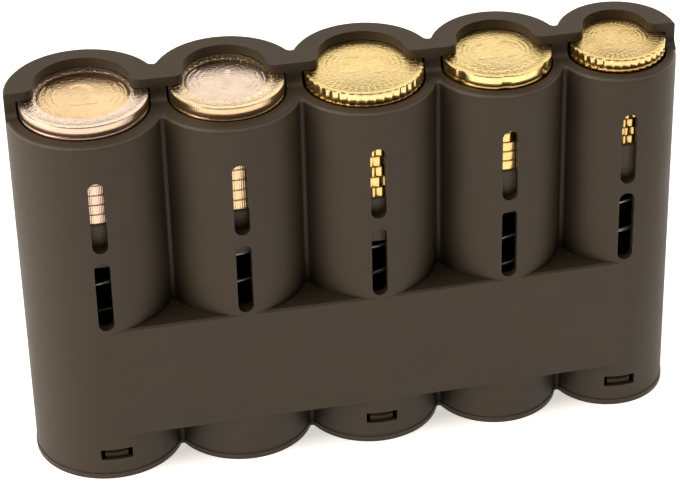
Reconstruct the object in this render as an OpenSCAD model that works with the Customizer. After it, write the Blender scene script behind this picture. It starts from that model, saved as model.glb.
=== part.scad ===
/* [Coins, left to right] */
// Diameter of the coins in tube 1
coin1_d = 25.75; // [24:0.05:27]
// Thickness of a coin in tube 1
coin1_t = 2.2; // [1.8:0.01:2.6]
// Diameter of the coins in tube 2
coin2_d = 23.25; // [22:0.05:25]
// Thickness of a coin in tube 2
coin2_t = 2.33; // [1.8:0.01:2.6]
// Diameter of the coins in tube 3
coin3_d = 24.25; // [22:0.05:26]
// Thickness of a coin in tube 3
coin3_t = 2.38; // [1.8:0.01:2.6]
// Diameter of the coins in tube 4
coin4_d = 22.25; // [21:0.05:24]
// Thickness of a coin in tube 4
coin4_t = 2.14; // [1.8:0.01:2.6]
// Diameter of the coins in tube 5
coin5_d = 19.75; // [18.5:0.05:22]
// Thickness of a coin in tube 5
coin5_t = 1.93; // [1.6:0.01:2.6]
// Number of coins stored in each tube, with the top one
coins_stored = 10; // [4:1:14]
// Width of the raised rim on a coin's faces
coin_rim_w = 1.1; // [0.7:0.1:1.8]
// Depth of a coin's field below its rim
coin_field = 0.12; // [0.05:0.01:0.25]
// Chamfer on a coin's edges
coin_edge = 0.15; // [0.05:0.01:0.3]
// Share of a two-metal coin's diameter that its core takes
core_share = 0.72; // [0.6:0.01:0.8]
// Number of scallops round the edge of the top coin in tube 3
scallops3 = 44; // [30:1:60]
// Number of scallops round the edge of the top coin in tube 5
scallops5 = 38; // [30:1:60]
// Depth of a scallop
scallop_depth = 0.28; // [0.15:0.01:0.4]
// Radius of the round cut that makes a scallop
scallop_r = 0.62; // [0.5:0.01:0.8]
// Number of shallow notches round the edge of the top coin in tube 4
notches4 = 7; // [4:1:12]
// Depth of a notch
notch_depth = 0.35; // [0.15:0.01:0.5]
// Radius of the round cut that makes a notch
notch_r = 2.6; // [1.5:0.1:4]

/* [Housing] */
// Overall height, from the foot of the base plate to the top of the lip
holder_h = 84.65; // [80:0.05:90]
// Clearance between a coin's edge and its tube's bore
coin_gap = 0.35; // [0.3:0.05:0.6]
// Least wall between two neighbouring bores
web = 3.2; // [2.8:0.1:3.6]
// Wall of tube 1
wall1 = 2.3; // [1.7:0.05:2.8]
// Wall of tube 2
wall2 = 2.8; // [1.7:0.05:2.9]
// Wall of tube 3
wall3 = 1.95; // [1.7:0.05:2.8]
// Wall of tube 4
wall4 = 1.85; // [1.7:0.05:2.8]
// Wall of tube 5
wall5 = 1.9; // [1.7:0.05:2.8]
// Radius of the hollow fillet where two tubes meet
valley_r = 0.7; // [0.6:0.1:1.5]
// Chamfer along the lip's outer edge
edge_cut = 0.45; // [0.2:0.05:0.7]
// Radius of the outer edge of the low front rim
rim_round = 0.95; // [0.3:0.05:1.1]
// Radius of the sweep from the low front rim up to the tall rear half
sweep_r = 1.8; // [1:0.1:2.5]

/* [Lip and thumb cut-outs] */
// Thickness of the lip over the rear half of the tubes
lip_t = 2; // [1.5:0.1:3]
// How far the low front rim lies under the top of the lip
rim_drop = 4.9; // [4.6:0.1:5.6]
// How far the lip reaches over a coin at each side of the thumb cut-out
lip_reach = 3.3; // [2.5:0.1:4.2]
// Width of the lip behind the thumb cut-out
lip_back = 4; // [3.2:0.1:4.8]
// Radius of the lip's two tips beside a thumb cut-out
tip_r = 2; // [0.5:0.1:2.5]

/* [Sight slots] */
// Width of a sight slot
slot_w = 3.2; // [2.4:0.1:4]
// Length of a sight slot with its round ends
slot_len = 16.1; // [12:0.1:17]
// Wall left between the upper and the lower slot
slot_bridge = 2.3; // [1.5:0.1:3.5]
// Height of the lower slot's foot
slot_foot = 36.8; // [34:0.1:38]

/* [Front panel] */
// Height of the panel's lower edge
panel_foot = 10.4; // [9:0.1:14]
// Height of the panel's upper edge
panel_top = 36.4; // [28:0.1:36.5]
// Chamfer along the panel's upper edge
panel_cut = 0.4; // [0.2:0.05:0.8]

/* [Base plate and snaps] */
// Thickness of the base plate
plate_t = 1.2; // [1:0.1:2]
// How far the base plate stands proud of the tubes
plate_proud = 0.15; // [0.05:0.05:0.4]
// Width of a snap window
window_w = 6.6; // [5:0.1:8]
// Height of a snap window
window_h = 2.5; // [2:0.1:3]
// Height of a snap window's lower edge
window_foot = 4.7; // [4:0.1:5]
// Thickness of a snap arm
arm_t = 1.2; // [0.9:0.1:1.5]
// Gap between a snap hook and the sides of its window
hook_gap = 0.9; // [0.3:0.05:1.2]
// Height of a snap hook's face
hook_h = 1.3; // [1.1:0.05:1.5]
// Gap between a snap hook and the lower edge of its window
hook_rest = 0.15; // [0.1:0.05:0.3]
// How deep a snap hook's face lies under the tube's surface
hook_depth = 0.9; // [0.3:0.05:1]
// Clearance between the base plate's rings and the bores
ring_gap = 0.15; // [0.1:0.05:0.3]
// Height of the locating rings over the base plate
ring_h = 1.6; // [1:0.1:2.4]
// Height of the spring pegs over the base plate
peg_h = 5; // [3:0.5:6]

/* [Followers and springs] */
// Height of a follower cup
follower_h = 10.2; // [8:0.1:12]
// Thickness of a follower's top
follower_top = 1.5; // [1.2:0.1:2.5]
// Thickness of a follower's skirt and of the spring pegs
skirt_t = 1.2; // [0.9:0.1:1.5]
// Clearance between a follower and its bore
slide_gap = 0.3; // [0.3:0.05:0.5]
// Chamfer round the top of a follower
follower_cut = 0.5; // [0.2:0.1:0.8]
// Height of the spring boss under a follower's top
boss_h = 3; // [2:0.5:5]
// Diameter of the spring wire
wire_d = 0.9; // [0.7:0.05:1]
// Gap between a spring and the skirt of the narrowest follower
spring_side_gap = 0.4; // [0.3:0.05:1]
// Gap between a spring and the peg or boss that it stands round
peg_gap = 0.3; // [0.3:0.05:0.8]
// Number of open turns of a spring
open_turns = 8; // [6:1:9]
// Gap between the closed turns at a spring's ends
closed_gap = 0.5; // [0.45:0.01:0.7]
// Number of closed turns at each end of a spring
closed_turns = 1.25; // [1:0.25:2]

/* [Hidden] */

$fn = 96;
last_tube = 4;
tubes = [0 : last_tube];
gaps = [0 : last_tube - 1];
snap_tubes = [0, 2, last_tube];

coin_ds = [coin1_d, coin2_d, coin3_d, coin4_d, coin5_d];
coin_ts = [coin1_t, coin2_t, coin3_t, coin4_t, coin5_t];
walls = [wall1, wall2, wall3, wall4, wall5];

// Gap that keeps two coins, or a coin and the lip, from being one solid
face_gap = 0.05;
// Gap between a two-metal coin's core and its ring
core_gap = 0.02;
// Overshoot of every cutting shape
over = 1;
// How far a blended surface reaches into its neighbour, so that the two cross
blend_lap = 0.01;
// Clearance between a spring's wire and the faces that it bears on
seat_gap = 0.1;
// Sides of the round cut that makes a scallop
scallop_sides = 24;
// Sides of the wire and rings in one turn of a spring
wire_sides = 6;
turn_rings = 8;
// Flats in the rounded edge of the front rim
rim_flats = 3;
// Height of the slope at the top of a snap hook
hook_lead = 0.4;
// Turn of the fourth top coin that brings a notch to the front
notch_turn = -92;
// Height at which each spring's wire crosses the front of its tube
spring_front_z = [42, 39, 43.2, 41.9, 40];

plastic = [0.22, 0.2, 0.17];
dark_plastic = [0.17, 0.16, 0.14];
steel = [0.62, 0.63, 0.65];
gold = [0.85, 0.66, 0.28];
silver = [0.78, 0.76, 0.74];

rim_z = holder_h - rim_drop;
lip_z = holder_h - lip_t;
coin_top_z = lip_z - face_gap;
upper_slot_foot = slot_foot + slot_len + slot_bridge;

// Places along the row: each tube's bore and outside, and its axis
function bore_r(i) = coin_ds[i] / 2 + coin_gap;
function tube_r(i) = bore_r(i) + walls[i];
function pitch(i) = bore_r(i) + web + bore_r(i + 1);
function along(i) = i == 0 ? 0 : along(i - 1) + pitch(i - 1);
row_l = tube_r(0) + along(last_tube) + tube_r(last_tube);
function tube_x(i) = tube_r(0) + along(i) - row_l / 2;

// Heights inside a tube: the foot of the coins, and the underside of the follower's top
function stack_foot(i) = coin_top_z - coins_stored * coin_ts[i];
function seat_z(i) = stack_foot(i) - follower_top;

function skirt_r(i) = bore_r(i) - slide_gap;

// One size of spring serves every tube, so the narrowest follower sets it
least_skirt_r = min([for (i = tubes) skirt_r(i)]);
spring_r = least_skirt_r - skirt_t - spring_side_gap - wire_d / 2;
// Radius of the peg and boss inside a spring, clear of the flats between its rings
peg_r = spring_r * cos(180 / turn_rings) - wire_d / 2 - peg_gap;

function thumb_r(i) = coin_ds[i] / 2 - lip_reach;
function thumb_y(i) = tube_r(i) - lip_back - thumb_r(i);

// Centre of the hollow between tubes i and i + 1, measured from the axis of tube i
function hollow_at(i) =
    let (
        a = tube_r(i) + valley_r,
        b = tube_r(i + 1) + valley_r,
        x = (pitch(i) * pitch(i) + a * a - b * b) / (2 * pitch(i))
    )
    [x, sqrt(a * a - x * x)];

// Web between tubes i and i + 1, before its hollows are cut
module web(i) {
    at = hollow_at(i);
    translate([tube_x(i), 0])
        polygon([[0, 0], [at[0], -at[1]], [pitch(i), 0], at]);
}

// Sets its children at both hollows between tubes i and i + 1
module at_hollows(i) {
    for (side = [-1, 1])
        translate([tube_x(i) + hollow_at(i)[0], side * hollow_at(i)[1], 0]) children();
}

// The base plate's outline, with round hollows where the tubes meet
module outline(grow) {
    difference() {
        union() {
            for (i = tubes)
                translate([tube_x(i), 0]) circle(r = tube_r(i) + grow);
            for (i = gaps) web(i);
        }
        for (i = gaps)
            at_hollows(i) circle(r = valley_r - grow + blend_lap);
    }
}

// Profile of a wall's edge from its side up to its top, in equal flats
function edge_profile(cut, flats) =
    [for (k = [0 : flats]) cut * [1 - cos(90 * k / flats), sin(90 * k / flats) - 1]];

// The row of tubes up to a height, before the bores, with an eased edge round its top
module block(top, cut, flats) {
    hollow_r = valley_r + blend_lap;
    difference() {
        union() {
            for (i = tubes)
                translate([tube_x(i), 0, 0])
                    rotate_extrude()
                        polygon([
                            [0, plate_t], [tube_r(i), plate_t],
                            for (p = edge_profile(cut, flats)) [tube_r(i) - p[0], top + p[1]],
                            [0, top]
                        ]);
            for (i = gaps)
                translate([0, 0, plate_t]) linear_extrude(height = top - plate_t) web(i);
        }
        for (i = gaps)
            at_hollows(i)
                rotate_extrude()
                    polygon([
                        [0, 0], [hollow_r, 0],
                        for (p = edge_profile(cut, flats)) [hollow_r + p[0], top + p[1]],
                        [hollow_r + cut + over, top + over], [0, top + over]
                    ]);
    }
}

// Panel along the fronts of tubes i and i + 1, with a chamfered upper edge
module panel_bay(i) {
    lean = asin((tube_r(i) - tube_r(i + 1)) / pitch(i));
    front = -(tube_r(i) - blend_lap);
    translate([tube_x(i), 0, 0])
        rotate([90, 0, 90 + lean])
            linear_extrude(height = pitch(i) * cos(lean))
                polygon([
                    [0, panel_foot], [front, panel_foot], [front, panel_top - panel_cut],
                    [front + panel_cut, panel_top], [0, panel_top]
                ]);
}

// The tall rear half seen along the row, with the sweep at its foot
module rear_profile() {
    foot = rim_z - over;
    translate([0, foot]) square([row_l, holder_h - foot]);
    difference() {
        translate([-sweep_r, foot]) square([sweep_r + over, over + sweep_r]);
        translate([-sweep_r, rim_z + sweep_r]) circle(r = sweep_r);
    }
}

// Rounds off the lip's tips at both sides of tube i's thumb cut-out
module tip_cutter(i) {
    from_cut = thumb_r(i) + tip_r - blend_lap;
    tip_y = tip_r - blend_lap;
    at = [sqrt(from_cut * from_cut - pow(thumb_y(i) - tip_y, 2)), tip_y];
    for (side = [-1, 1])
        scale([side, 1])
            difference() {
                polygon([[0, -over], [at[0], -over], at, [0, thumb_y(i)]]);
                translate(at) circle(r = tip_r);
            }
}

module slot_cutter(i, foot) {
    rotate([90, 0, 0]) {
        translate([-slot_w / 2, foot + slot_w / 2, 0])
            cube([slot_w, slot_len - slot_w, tube_r(i) + over]);
        for (z = [foot + slot_w / 2, foot + slot_len - slot_w / 2])
            translate([0, z, 0]) cylinder(r = slot_w / 2, h = tube_r(i) + over);
    }
}

module window_cutter(i) {
    translate([-window_w / 2, -tube_r(i) - over, window_foot])
        cube([window_w, 2 * (tube_r(i) + over), window_h]);
}

module housing() {
    color(plastic)
    difference() {
        union() {
            block(rim_z, rim_round, rim_flats);
            intersection() {
                block(holder_h, edge_cut, 1);
                translate([-row_l, 0, 0])
                    rotate([90, 0, 90])
                        linear_extrude(height = 2 * row_l) rear_profile();
            }
            for (i = gaps) panel_bay(i);
        }
        for (i = tubes)
            translate([tube_x(i), 0, 0]) {
                cylinder(r = bore_r(i), h = lip_z);
                translate([0, thumb_y(i), lip_z - over])
                    cylinder(r = thumb_r(i), h = lip_t + 2 * over);
                slot_cutter(i, slot_foot);
                slot_cutter(i, upper_slot_foot);
                translate([0, 0, lip_z - over])
                    linear_extrude(height = lip_t + 2 * over) tip_cutter(i);
            }
        for (i = snap_tubes)
            translate([tube_x(i), 0, 0]) window_cutter(i);
    }
}

// Arm with a hook that snaps into a window at the front of a tube
module snap_arm(i) {
    outer = bore_r(i) - ring_gap;
    arm_w = window_w - 2 * hook_gap;
    hook_foot = window_foot + hook_rest;
    face = tube_r(i) - hook_depth;
    intersection() {
        difference() {
            union() {
                cylinder(r = outer, h = hook_foot + hook_h);
                translate([0, 0, hook_foot]) cylinder(r = face, h = hook_h);
            }
            translate([0, 0, -over])
                cylinder(r = outer - arm_t, h = hook_foot + hook_h + 2 * over);
            translate([-arm_w, -face, hook_foot + hook_h - hook_lead])
                rotate([45, 0, 0]) cube([2 * arm_w, hook_h, hook_h]);
        }
        translate([-arm_w / 2, -face - over, plate_t / 2])
            cube([arm_w, face + over, holder_h]);
    }
}

module base_plate() {
    color(plastic)
    union() {
        linear_extrude(height = plate_t) outline(plate_proud);
        for (i = tubes)
            translate([tube_x(i), 0, plate_t / 2]) {
                difference() {
                    cylinder(r = bore_r(i) - ring_gap, h = plate_t / 2 + ring_h);
                    cylinder(r = bore_r(i) - ring_gap - skirt_t, h = plate_t + ring_h);
                }
                difference() {
                    cylinder(r = peg_r, h = plate_t / 2 + peg_h);
                    cylinder(r = peg_r - skirt_t, h = plate_t + peg_h);
                }
            }
        for (i = snap_tubes)
            translate([tube_x(i), 0, 0]) {
                snap_arm(i);
                mirror([0, 1, 0]) snap_arm(i);
            }
    }
}

module follower(i) {
    r = skirt_r(i);
    top = stack_foot(i);
    foot = top - follower_h;
    color(dark_plastic)
    translate([tube_x(i), 0, 0])
        rotate_extrude() {
            polygon([
                [0, seat_z(i)], [r - skirt_t, seat_z(i)], [r - skirt_t, foot], [r, foot],
                [r, top - follower_cut], [r - follower_cut, top], [0, top]
            ]);
            translate([peg_r - skirt_t, seat_z(i) - boss_h])
                square([skirt_t, boss_h + follower_top / 2]);
        }
}

// A spring's line: closed turns at both ends and evenly rising turns between
spring_foot_z = plate_t + seat_gap + wire_d / 2;
closed_rise = wire_d + closed_gap;
open_foot_z = spring_foot_z + closed_turns * closed_rise;
all_turns = open_turns + 2 * closed_turns;
function spring_head_z(i) = seat_z(i) - seat_gap - wire_d / 2;
function open_rise(i) =
    (spring_head_z(i) - closed_turns * closed_rise - open_foot_z) / open_turns;
function rise_at(i, t) =
    t < closed_turns ? t * closed_rise
    : t < closed_turns + open_turns
        ? closed_turns * closed_rise + (t - closed_turns) * open_rise(i)
        : spring_head_z(i) - spring_foot_z - (all_turns - t) * closed_rise;
// Angle round tube i after t turns, with the wire at the front at spring_front_z
function turn_angle(i, t) =
    360 * (t - closed_turns - (spring_front_z[i] - open_foot_z) / open_rise(i)) - 90;
function spring_points(i) = [
    for (k = [0 : all_turns * turn_rings])
        let (t = k / turn_rings, a = turn_angle(i, t))
        [spring_r * cos(a), spring_r * sin(a), spring_foot_z + rise_at(i, t)]
];

// Ring of the wire's corners round point k of the line, upright and square to the turn
function wire_ring(i, p, k) =
    let (a = turn_angle(i, k / turn_rings), w = wire_d / 2)
    [
        for (s = [0 : wire_sides - 1])
            let (b = 360 * s / wire_sides + 30)
            [p[0] + w * cos(b) * cos(a), p[1] + w * cos(b) * sin(a), p[2] + w * sin(b)]
    ];

module spring(i) {
    line = spring_points(i);
    last = len(line) - 1;
    corners = [for (k = [0 : last]) each wire_ring(i, line[k], k)];
    sides = [
        for (k = [0 : last - 1])
            for (s = [0 : wire_sides - 1])
                let (
                    a = k * wire_sides + s,
                    b = k * wire_sides + (s + 1) % wire_sides,
                    c = a + wire_sides,
                    d = b + wire_sides
                )
                each [[a, c, b], [b, c, d]]
    ];
    caps = [
        for (s = [1 : wire_sides - 2])
            each [
                [0, s, s + 1],
                [last * wire_sides, last * wire_sides + s + 1, last * wire_sides + s]
            ]
    ];
    color(steel)
    translate([tube_x(i), 0, 0])
        polyhedron(points = corners, faces = concat(sides, caps), convexity = 10);
}

// Least gap of a spring to itself, on the points of its line at least half a turn apart
function self_gap(i) =
    let (line = spring_points(i), n = len(line) - 1)
    min([
        for (k = [0 : n])
            for (m = [k + turn_rings / 2 : n])
                norm(line[k] - line[m])
    ]) - wire_d;

module coin_blank(d, t, hole_d) {
    r = d / 2;
    field_r = r - coin_rim_w;
    rim_r = field_r + coin_field;
    rotate_extrude()
        polygon([
            [hole_d / 2, coin_field], [field_r, coin_field], [rim_r, 0],
            [r - coin_edge, 0], [r, coin_edge], [r, t - coin_edge], [r - coin_edge, t],
            [rim_r, t], [field_r, t - coin_field], [hole_d / 2, t - coin_field]
        ]);
}

// Coins under the top one, each a solid of its own
module coins(i, tint) {
    color(tint)
    for (k = [0 : coins_stored - 2])
        translate([tube_x(i), 0, stack_foot(i) + k * coin_ts[i]])
            coin_blank(coin_ds[i], coin_ts[i] - face_gap, 0);
}

module at_top(i) {
    translate([tube_x(i), 0, coin_top_z - coin_ts[i]]) children();
}

module top_coin_ring(i, tint) {
    color(tint)
    at_top(i) coin_blank(coin_ds[i], coin_ts[i], core_share * coin_ds[i] + 2 * core_gap);
}

module top_coin_core(i, tint) {
    color(tint)
    at_top(i)
        translate([0, 0, coin_field])
            cylinder(d = core_share * coin_ds[i], h = coin_ts[i] - 2 * coin_field);
}

// Gold top coin with equal round cuts in its edge, the first one at angle from
module top_coin_cut(i, count, from, depth, cut_r, cut_sides) {
    reach = coin_ds[i] / 2;
    color(gold)
    at_top(i)
        difference() {
            coin_blank(coin_ds[i], coin_ts[i], 0);
            for (k = [0 : count - 1])
                rotate([0, 0, from + 360 * k / count])
                    translate([reach - depth + cut_r, 0, -over])
                        cylinder(r = cut_r, h = coin_ts[i] + 2 * over, $fn = cut_sides);
        }
}

module top_coin_scalloped(i, count) {
    top_coin_cut(i, count, 0, scallop_depth, scallop_r, scallop_sides);
}

module top_coin_notched() {
    top_coin_cut(3, notches4, notch_turn, notch_depth, notch_r, $fn);
}

for (i = tubes)
    echo(spring = i + 1, turns = all_turns, least_gap_mm = self_gap(i));

housing();
base_plate();
follower(0);  // follower_1
follower(1);  // follower_2
follower(2);  // follower_3
follower(3);  // follower_4
follower(4);  // follower_5
spring(0);  // spring_1
spring(1);  // spring_2
spring(2);  // spring_3
spring(3);  // spring_4
spring(4);  // spring_5
coins(0, silver);  // coins_1
coins(1, gold);  // coins_2
coins(2, gold);  // coins_3
coins(3, gold);  // coins_4
coins(4, gold);  // coins_5
top_coin_ring(0, silver);  // top_coin_ring_1
top_coin_core(0, gold);  // top_coin_core_1
top_coin_ring(1, gold);  // top_coin_ring_2
top_coin_core(1, silver);  // top_coin_core_2
top_coin_scalloped(2, scallops3);  // top_coin_3
top_coin_notched();  // top_coin_4
top_coin_scalloped(4, scallops5);  // top_coin_5
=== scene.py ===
import math
import random

import bmesh
import bpy
from mathutils import Matrix, Vector


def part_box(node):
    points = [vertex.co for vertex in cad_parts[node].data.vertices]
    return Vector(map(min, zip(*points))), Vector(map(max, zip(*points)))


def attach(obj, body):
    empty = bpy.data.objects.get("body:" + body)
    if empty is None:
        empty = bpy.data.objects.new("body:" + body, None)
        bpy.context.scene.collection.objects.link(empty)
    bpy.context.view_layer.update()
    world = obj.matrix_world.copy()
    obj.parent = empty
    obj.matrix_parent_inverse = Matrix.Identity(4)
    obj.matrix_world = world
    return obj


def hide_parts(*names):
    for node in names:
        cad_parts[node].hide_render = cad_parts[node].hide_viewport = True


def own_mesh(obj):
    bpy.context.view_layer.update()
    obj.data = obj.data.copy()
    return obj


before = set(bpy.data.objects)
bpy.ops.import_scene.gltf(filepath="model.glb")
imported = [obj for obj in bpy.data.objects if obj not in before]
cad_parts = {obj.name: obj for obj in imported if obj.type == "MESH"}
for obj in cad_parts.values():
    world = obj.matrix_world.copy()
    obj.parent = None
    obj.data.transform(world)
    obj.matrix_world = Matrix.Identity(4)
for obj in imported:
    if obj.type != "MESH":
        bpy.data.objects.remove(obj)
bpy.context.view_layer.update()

bl_info = {
    "name": "Coin holder",
    "version": (1, 0, 0),
    "blender": (4, 5, 0),
    "location": "View3D > Sidebar > Coin holder",
    "description": "Finishes a coin holder with sprung tubes, its coins and its stage",
    "category": "Object",
}

MM = 0.001
TUBES = (1, 2, 3, 4, 5)
TWO_METAL_TUBES = (1, 2)


# Places read from the frame

def tube_axis(tube):
    """Place of a tube's axis along the row."""
    low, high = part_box(f"follower_{tube}")
    return (low[0] + high[0]) / 2


def top_node(tube):
    """Name of a tube's top coin, or of its ring where it has two metals."""
    return f"top_coin_ring_{tube}" if tube in TWO_METAL_TUBES else f"top_coin_{tube}"


# Modelling helpers

def start_clean():
    """Nothing is selected, and Blender is in object mode."""
    if bpy.context.object and bpy.context.object.mode != "OBJECT":
        bpy.ops.object.mode_set(mode="OBJECT")
    bpy.ops.object.select_all(action="DESELECT")


def work_on(piece):
    """Makes one piece the only selected and the active one."""
    start_clean()
    piece.select_set(True)
    bpy.context.view_layer.objects.active = piece


def edit(piece, mode="FACE"):
    """Opens a piece in edit mode with nothing selected."""
    work_on(piece)
    bpy.ops.object.mode_set(mode="EDIT")
    bpy.ops.mesh.select_mode(type=mode)
    bpy.ops.mesh.select_all(action="DESELECT")


def leave_edit():
    bpy.ops.object.mode_set(mode="OBJECT")


def pick(piece, kind, test):
    """Selects the faces, edges or verts that pass a test, and nothing else."""
    mesh = bmesh.from_edit_mesh(piece.data)
    for part in (mesh.verts, mesh.edges, mesh.faces):
        for element in part:
            element.select = False
    for element in getattr(mesh, kind):
        if test(element):
            element.select_set(True)
    mesh.select_flush_mode()
    bmesh.update_edit_mesh(piece.data)


def settle(piece):
    """Puts a piece's place, turn and size into its mesh."""
    work_on(piece)
    bpy.ops.object.transform_apply(location=True, rotation=True, scale=True)


def copy_of(piece, name, matrix):
    """A copy with its own mesh, placed by a matrix that goes into the mesh."""
    twin = piece.copy()
    twin.data = piece.data.copy()
    twin.name = name
    bpy.context.scene.collection.objects.link(twin)
    twin.data.transform(matrix)
    return twin


def joined(pieces, name):
    """One piece made of several."""
    start_clean()
    for piece in pieces:
        piece.select_set(True)
    bpy.context.view_layer.objects.active = pieces[0]
    bpy.ops.object.join()
    whole = bpy.context.object
    whole.name = name
    whole.data.name = name
    return whole


def discard(piece):
    bpy.data.objects.remove(piece, do_unlink=True)


def finish(piece, material, body, smooth_deg=35):
    """Gives a piece its shading, material and body."""
    work_on(piece)
    bpy.ops.object.shade_smooth_by_angle(angle=math.radians(smooth_deg))
    piece.data.materials.clear()
    piece.data.materials.append(material)
    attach(piece, body)
    return piece


# Material helpers

class Net:
    """A node tree that is filled from left to right."""

    def __init__(self, tree):
        self.tree = tree
        self.count = 0

    def add(self, kind, settings=None, inputs=None):
        node = self.tree.nodes.new(kind)
        node.location = (180 * (self.count % 8), -220 * (self.count // 8))
        self.count += 1
        for key, value in (settings or {}).items():
            setattr(node, key, value)
        for key, value in (inputs or {}).items():
            self.feed(node.inputs[key], value)
        return node

    def feed(self, socket, value):
        """Links a socket to another one, or gives it a constant."""
        if isinstance(value, bpy.types.NodeSocket):
            self.tree.links.new(value, socket)
        else:
            socket.default_value = value

    def math(self, operation, a, b=0.0, c=0.0):
        node = self.add("ShaderNodeMath", {"operation": operation})
        for socket, value in zip(node.inputs, (a, b, c)):
            self.feed(socket, value)
        return node.outputs[0]

    def times(self, value, factor, plus=None):
        """A value times a factor, with something added where it is given."""
        if plus is None:
            return self.math("MULTIPLY", value, factor)
        return self.math("MULTIPLY_ADD", value, factor, plus)

    def noise(self, vector, scale, detail=3.0, roughness=0.55):
        node = self.add("ShaderNodeTexNoise", None, {
            "Vector": vector, "Scale": scale, "Detail": detail, "Roughness": roughness})
        return node.outputs["Fac"]

    def remap(self, value, low, high, to_low=0.0, to_high=1.0):
        node = self.add("ShaderNodeMapRange", {"clamp": True}, {
            "Value": value, "From Min": low, "From Max": high,
            "To Min": to_low, "To Max": to_high})
        return node.outputs["Result"]

    def normal_z(self):
        """How far a face's normal points up, from -1 to 1."""
        normal = self.add("ShaderNodeNewGeometry").outputs["Normal"]
        return self.add("ShaderNodeSeparateXYZ", None, {0: normal}).outputs[2]

    def mix_colour(self, share, a, b, blend="MIX"):
        node = self.add("ShaderNodeMix", {"data_type": "RGBA", "blend_type": blend})
        self.feed(node.inputs[0], share)
        self.feed(node.inputs[6], a)
        self.feed(node.inputs[7], b)
        return node.outputs[2]


def toned(colour, *factors, lift=0.0):
    """An opaque colour times one factor, or one for each channel, after an even lift."""
    shares = factors if len(factors) == 3 else factors * 3
    return tuple(min(1.0, lift + share * c) for share, c in zip(shares, colour)) + (1.0,)


def new_group(name, inputs, outputs):
    """A shader node group with float or vector sockets."""
    tree = bpy.data.node_groups.new(name, "ShaderNodeTree")
    for label, default in inputs:
        kind = "NodeSocketVector" if default is None else "NodeSocketFloat"
        socket = tree.interface.new_socket(name=label, in_out="INPUT", socket_type=kind)
        if default is not None:
            socket.default_value = default
    for label in outputs:
        tree.interface.new_socket(name=label, in_out="OUTPUT", socket_type="NodeSocketFloat")
    net = Net(tree)
    return tree, net, net.add("NodeGroupInput").outputs, net.add("NodeGroupOutput").inputs


def grain_group():
    """Fine pits of a moulded face, with a slow cloudiness."""
    tree, net, given, out = new_group(
        "Moulded grain", (("Vector", None), ("Scale", 2600.0)), ("Height", "Cloud"))
    coarse = net.noise(given["Vector"], given["Scale"], detail=4.0, roughness=0.6)
    fine = net.noise(given["Vector"], net.times(given["Scale"], 2.7), detail=2.0)
    net.feed(out["Height"], net.times(fine, 0.4, plus=coarse))
    cloud = net.noise(given["Vector"], net.times(given["Scale"], 0.035), detail=4.0)
    net.feed(out["Cloud"], net.remap(cloud, 0.3, 0.7))
    return tree


def edge_group():
    """Mask that is high along sharp outer edges, broken up by noise."""
    tree, net, given, out = new_group(
        "Rubbed edges", (("Vector", None), ("Width", 0.0005), ("Scale", 900.0)), ("Mask",))
    bevel = net.add("ShaderNodeBevel", {"samples": 4}, {"Radius": given["Width"]})
    plain = net.add("ShaderNodeNewGeometry")
    dot = net.add("ShaderNodeVectorMath", {"operation": "DOT_PRODUCT"}, {
        0: bevel.outputs[0], 1: plain.outputs["Normal"]})
    turned = net.remap(dot.outputs["Value"], 0.995, 0.8)
    patchy = net.noise(given["Vector"], given["Scale"], detail=4.0, roughness=0.65)
    net.feed(out["Mask"], net.times(turned, net.remap(patchy, 0.35, 0.7)))
    return tree


def rim_highlight_group():
    """Mask of a painted highlight along the rounded edge at a given height, on faces that tilt
    upwards, broken up by noise.
    """
    tree, net, given, out = new_group(
        "Rubbed rim", (("Vector", None), ("Height", 0.079), ("Half width", 0.0003)),
        ("Mask",))
    place = net.add("ShaderNodeSeparateXYZ", None, {0: given["Vector"]})
    off = net.math("ABSOLUTE", net.math("SUBTRACT", place.outputs[2], given["Height"]))
    near = net.remap(net.math("DIVIDE", off, given["Half width"]), 1.0, 0.5)
    sloped = net.remap(net.normal_z(), 0.05, 0.3)
    patchy = net.remap(net.noise(given["Vector"], 500.0), 0.3, 0.6, 0.7, 1.0)
    net.feed(out["Mask"], net.times(net.times(near, sloped), patchy))
    return tree


def scratch_group():
    """Hairline scratches in two directions."""
    tree, net, given, out = new_group(
        "Hairlines", (("Vector", None), ("Scale", 700.0)), ("Height",))
    lines = []
    for turn in (0.6, -0.9):
        place = net.add("ShaderNodeMapping", None, {
            "Vector": given["Vector"], "Rotation": (0.0, 0.0, turn), "Scale": (1.0, 14.0, 1.0)})
        streaks = net.noise(place.outputs[0], given["Scale"], detail=2.0, roughness=0.7)
        lines.append(net.remap(streaks, 0.62, 0.75))
    net.feed(out["Height"], net.math("MAXIMUM", *lines))
    return tree


def shared_groups():
    """The node groups that more than one material uses, built once."""
    makers = {"grain": ("Moulded grain", grain_group), "edges": ("Rubbed edges", edge_group),
              "rim": ("Rubbed rim", rim_highlight_group), "hair": ("Hairlines", scratch_group)}
    found = {}
    for key, (name, maker) in makers.items():
        found[key] = bpy.data.node_groups.get(name) or maker()
    return found


def place_group(net, tree, **values):
    """Puts a node group into a tree, and gives its outputs."""
    node = net.add("ShaderNodeGroup", {"node_tree": tree})
    for key, value in values.items():
        net.feed(node.inputs[key], value)
    return node.outputs


def new_material(name, metallic=0.0):
    """An empty material: itself, its net, its shader and the place on the object."""
    material = bpy.data.materials.new(name)
    material.use_nodes = True
    net = Net(material.node_tree)
    net.tree.nodes.clear()
    shader = net.add("ShaderNodeBsdfPrincipled", None, {"Metallic": metallic})
    end = net.add("ShaderNodeOutputMaterial")
    net.feed(end.inputs["Surface"], shader.outputs[0])
    place = net.add("ShaderNodeTexCoord").outputs["Object"]
    return material, net, shader, place


def bump(net, shader, height, distance, strength):
    node = net.add("ShaderNodeBump", None, {
        "Height": height, "Distance": distance, "Strength": strength})
    net.feed(shader.inputs["Normal"], node.outputs[0])
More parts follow.
